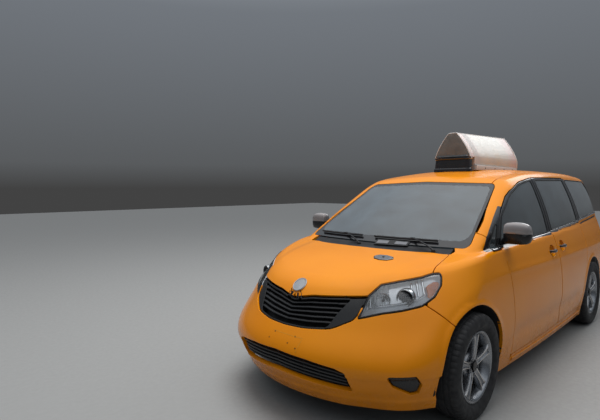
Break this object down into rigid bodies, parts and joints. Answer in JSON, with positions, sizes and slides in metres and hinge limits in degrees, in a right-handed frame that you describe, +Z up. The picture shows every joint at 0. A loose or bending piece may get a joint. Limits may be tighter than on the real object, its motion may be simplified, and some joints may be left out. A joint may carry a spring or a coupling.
{
  "type": "taxi cab",
  "caption": "A yellow minivan taxi cab with a roof number box and a two sided advertising display; doors, hood and tailgate open, and the front wheels steer.",
  "frame": {"origin": "on the floor under the middle of the overall length and width", "axes": "+X forward, +Y to the left, +Z up"},
  "size_m": [5.0925, 2.1694, 2.1349],
  "materials": {
    "body_paint": "glossy taxi yellow paint, orange in the shade",
    "black_trim": "glossy black plastic",
    "dark_plastic": "matt grained black plastic",
    "window_glass": "clear tinted safety glass",
    "lamp": "clear lens over a bright reflector",
    "red_lamp": "red translucent plastic",
    "seat_cloth": "woven grey seat cloth",
    "cabin_plastic": "grained dark grey plastic",
    "alloy": "painted cast alloy",
    "tyre_rubber": "black rubber",
    "steel": "dark coated steel",
    "topper_shell": "faded pale plastic panel",
    "floor_steel": "dark underseal and carpet"
  },
  "bodies": {
    "body": {"floor_pan": "floor_steel", "body_side_left": "body_paint", "body_side_right": "body_paint", "roof_panel": "body_paint", "front_fenders": "body_paint", "front_bumper": "body_paint", "grilles": "dark_plastic", "headlamps": "lamp", "windshield": "window_glass", "cowl_and_wipers": "dark_plastic", "sliding_door_left": "body_paint", "sliding_door_right": "body_paint", "side_glass": "window_glass", "rear_bumper": "body_paint", "tail_lamps": "red_lamp", "front_seats": "seat_cloth", "rear_seats": "seat_cloth", "dashboard": "cabin_plastic", "front_subframe": "steel", "rear_axle": "steel", "exhaust": "steel", "fuel_tank": "steel", "engine": "steel", "roof_sign": "black_trim", "ad_topper": "topper_shell"},
    "hood_lid": {"hood": "body_paint"},
    "tailgate_lid": {"tailgate": "body_paint", "tailgate_glass": "window_glass"},
    "steering": {"steering_wheel": "cabin_plastic"},
    "door_left": {"front_door_left": "body_paint", "front_door_glass_left": "window_glass", "mirror_left": "black_trim"},
    "upright_left": {"knuckle_left": "steel"},
    "front_left_wheel": {"wheel_front_left": "alloy", "tyre_front_left": "tyre_rubber"},
    "rear_left_wheel": {"wheel_rear_left": "alloy", "tyre_rear_left": "tyre_rubber"},
    "door_right": {"front_door_right": "body_paint", "front_door_glass_right": "window_glass", "mirror_right": "black_trim"},
    "upright_right": {"knuckle_right": "steel"},
    "front_right_wheel": {"wheel_front_right": "alloy", "tyre_front_right": "tyre_rubber"},
    "rear_right_wheel": {"wheel_rear_right": "alloy", "tyre_rear_right": "tyre_rubber"}
  },
  "joints": [
    {"name": "hood_hinge", "type": "hinge", "parent": "body", "child": "hood_lid", "pos_m": [1.345, 0, 1.025], "axis": [0, -1, 0], "range_deg": [0, 50]},
    {"name": "tailgate_hinge", "type": "hinge", "parent": "body", "child": "tailgate_lid", "pos_m": [-2.117, 0, 1.7], "axis": [0, 1, 0], "range_deg": [0, 80]},
    {"name": "front_door_hinge_left", "type": "hinge", "parent": "body", "child": "door_left", "pos_m": [0.985, 0.976, 0.8], "axis": [0, 0, -1], "range_deg": [0, 65]},
    {"name": "steering_left", "type": "hinge", "parent": "body", "child": "upright_left", "pos_m": [1.59, 0.77, 0.357], "axis": [0, 0, 1], "range_deg": [-35, 35]},
    {"name": "front_left_wheel_spin", "type": "hinge", "parent": "upright_left", "child": "front_left_wheel", "pos_m": [1.59, 0.86, 0.357], "axis": [0, 1, 0], "continuous": true},
    {"name": "rear_left_wheel_spin", "type": "hinge", "parent": "body", "child": "rear_left_wheel", "pos_m": [-1.44, 0.86, 0.357], "axis": [0, 1, 0], "continuous": true},
    {"name": "front_door_hinge_right", "type": "hinge", "parent": "body", "child": "door_right", "pos_m": [0.985, -0.976, 0.8], "axis": [0, 0, 1], "range_deg": [0, 65]},
    {"name": "steering_right", "type": "hinge", "parent": "body", "child": "upright_right", "pos_m": [1.59, -0.77, 0.357], "axis": [0, 0, 1], "range_deg": [-35, 35]},
    {"name": "front_right_wheel_spin", "type": "hinge", "parent": "upright_right", "child": "front_right_wheel", "pos_m": [1.59, -0.86, 0.357], "axis": [0, 1, 0], "continuous": true},
    {"name": "rear_right_wheel_spin", "type": "hinge", "parent": "body", "child": "rear_right_wheel", "pos_m": [-1.44, -0.86, 0.357], "axis": [0, 1, 0], "continuous": true},
    {"name": "steering_wheel_turn", "type": "hinge", "parent": "body", "child": "steering", "pos_m": [0.72, 0.38, 0.985], "axis": [-0.9, 0, 0.4359], "range_deg": [-490, 490]}
  ],
  "couplings": [
    {"joint": "steering_right", "follows": "steering_left", "ratio": 1},
    {"joint": "steering_wheel_turn", "follows": "steering_left", "ratio": 14}
  ]
}
